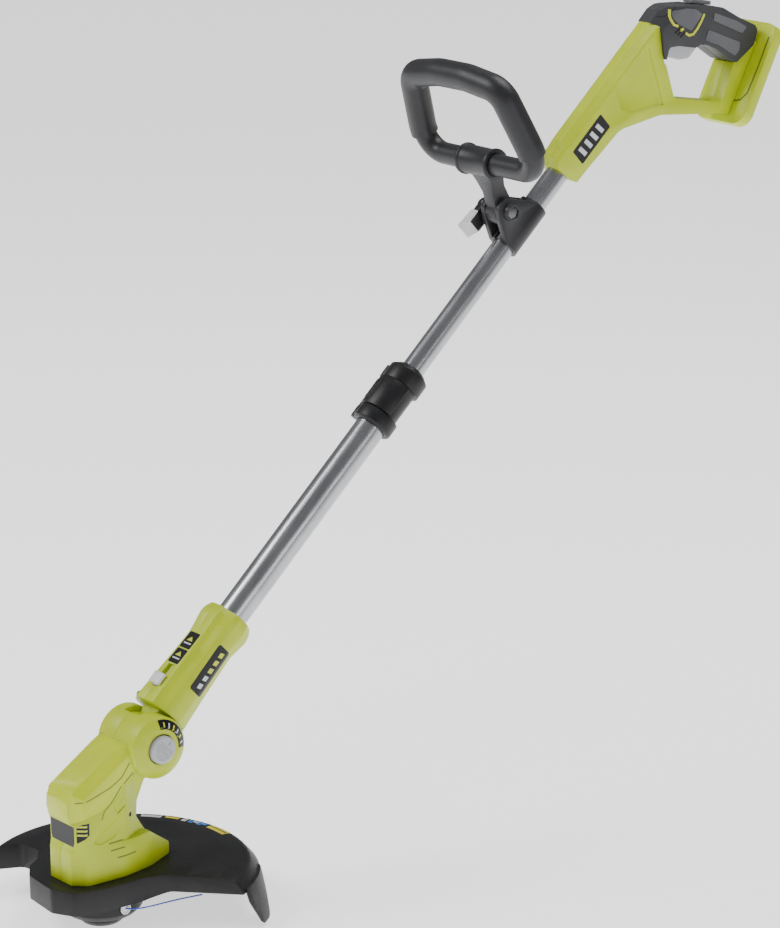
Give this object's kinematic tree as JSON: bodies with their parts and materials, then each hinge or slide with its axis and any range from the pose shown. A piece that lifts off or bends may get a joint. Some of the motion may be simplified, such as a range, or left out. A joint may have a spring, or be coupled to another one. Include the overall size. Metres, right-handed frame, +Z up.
{
  "type": "string trimmer",
  "caption": "Cordless string trimmer with telescoping shaft, pivoting cutting head and guard, edging swivel, adjustable loop handle and rear trigger grip.",
  "frame": {"origin": "on the ground under the spool's axis, at the bump knob's flat underside", "axes": "+Z up, +Y towards the operator along the ground, -Y to the nose of the cutting head, +X to the operator's left side"},
  "size_m": [0.2724, 0.9658, 0.8355],
  "materials": {
    "lime_shell": "moulded, satin",
    "black_plastic": "moulded, satin",
    "grip_rubber": "soft overmould",
    "tube_metal": "brushed, anodised grey",
    "steel": "machined",
    "screw_steel": "black zinc",
    "grey_plastic": "moulded, light grey",
    "white_plastic": "moulded, white",
    "line_nylon": "drawn nylon, blue",
    "brass_contact": "plated",
    "motor_can": "zinc plated",
    "nylon_natural": "natural nylon"
  },
  "bodies": {
    "handle": {"upper_tube": "tube_metal", "tube_bush": "nylon_natural", "handle_shell_left": "lime_shell", "handle_shell_right": "lime_shell", "handle_screws": "screw_steel", "battery_foot": "lime_shell", "battery_terminals": "brass_contact", "grip_left": "grip_rubber", "grip_right": "grip_rubber", "switch_block": "black_plastic", "trigger_pin": "steel", "trigger_spring": "steel", "lock_spring": "steel"},
    "trigger": {"trigger": "grey_plastic"},
    "lock": {"lock_button": "black_plastic"},
    "loop_slider": {"loop_bracket": "black_plastic", "clamp_bolt": "screw_steel", "clamp_washer": "black_plastic", "lever_pin": "steel"},
    "clamp_lever": {"lever_cam": "black_plastic", "lever_paddle": "white_plastic"},
    "loop": {"loop_tube": "black_plastic", "loop_grip": "grip_rubber", "loop_mast": "black_plastic"},
    "lower_shaft": {"lower_tube": "tube_metal", "swivel_sleeve": "nylon_natural", "collar_body": "black_plastic", "collar_pin": "steel", "collar_wiper": "nylon_natural"},
    "collar_lever": {"collar_lever": "black_plastic"},
    "tail": {"tail_shell_left": "lime_shell", "tail_shell_right": "lime_shell", "tail_screws": "screw_steel", "pivot_pin": "steel", "button_spring": "steel"},
    "edge_slider": {"edge_slider": "white_plastic"},
    "pivot_button": {"pivot_button": "grey_plastic"},
    "head": {"head_shell_left": "lime_shell", "head_shell_right": "lime_shell", "head_cap": "lime_shell", "head_screws": "screw_steel", "motor": "motor_can", "motor_mount": "black_plastic", "spindle_bearing": "steel", "guard": "black_plastic", "guard_screws": "screw_steel", "line_blade": "steel", "blade_screws": "screw_steel"},
    "spool": {"spindle": "steel", "spool_housing": "black_plastic", "line_eyelet": "steel", "bump_spring": "steel", "cutting_line": "line_nylon"},
    "reel": {"line_reel": "black_plastic", "wound_line": "line_nylon", "bump_knob": "black_plastic"}
  },
  "joints": [
    {"name": "trigger_pull", "type": "hinge", "parent": "handle", "child": "trigger", "pos_m": [0, 0.79533, 0.79298], "axis": [-1, 0, 0], "range_deg": [0, 8], "stiffness_Nm_per_rad": 0.6, "springref_deg": -6.88, "deforming": ["trigger_spring"]},
    {"name": "lock_push", "type": "slide", "parent": "handle", "child": "lock", "axis": [0, -0.9835, 0.1811], "range_m": [0, 0.004], "stiffness_N_per_m": 400, "springref_m": -0.004, "deforming": ["lock_spring"]},
    {"name": "loop_slide", "type": "slide", "parent": "handle", "child": "loop_slider", "axis": [0, 0.7431, 0.6691], "range_m": [-0.06, 0.03]},
    {"name": "loop_tilt", "type": "hinge", "parent": "loop_slider", "child": "loop", "pos_m": [0, 0.52733, 0.64452], "axis": [1, 0, 0], "range_deg": [-40, 85]},
    {"name": "clamp_lever_turn", "type": "hinge", "parent": "loop_slider", "child": "clamp_lever", "pos_m": [-0.023, 0.52733, 0.64452], "axis": [0, 0.6691, -0.7431], "range_deg": [0, 110]},
    {"name": "lower_slide", "type": "slide", "parent": "handle", "child": "lower_shaft", "axis": [0, 0.7431, 0.6691], "range_m": [-0.05, 0.1]},
    {"name": "collar_lever_flip", "type": "hinge", "parent": "lower_shaft", "child": "collar_lever", "pos_m": [-0.02368, 0.37208, 0.47097], "axis": [0, -0.7431, -0.6691], "range_deg": [0, 110]},
    {"name": "edge_turn", "type": "hinge", "parent": "lower_shaft", "child": "tail", "pos_m": [0, 0.1189, 0.23506], "axis": [0, 0.7431, 0.6691], "range_deg": [0, 180]},
    {"name": "edge_slide", "type": "slide", "parent": "tail", "child": "edge_slider", "axis": [0, 0.7431, 0.6691], "range_m": [0, 0.01]},
    {"name": "pivot_button_push", "type": "slide", "parent": "tail", "child": "pivot_button", "axis": [-1, 0, 0], "range_m": [0, 0.004], "stiffness_N_per_m": 600, "springref_m": -0.003, "deforming": ["button_spring"]},
    {"name": "head_pivot", "type": "hinge", "parent": "tail", "child": "head", "pos_m": [0, 0.05217, 0.17766], "axis": [1, 0, 0], "range_deg": [-35, 35]},
    {"name": "spool_spin", "type": "hinge", "parent": "head", "child": "spool", "pos_m": [0, 0, 0.03], "axis": [0, 0, 1], "continuous": true},
    {"name": "bump_press", "type": "slide", "parent": "spool", "child": "reel", "axis": [0, 0, 1], "range_m": [0, 0.003], "stiffness_N_per_m": 1500, "springref_m": -0.002, "deforming": ["bump_spring"]}
  ]
}
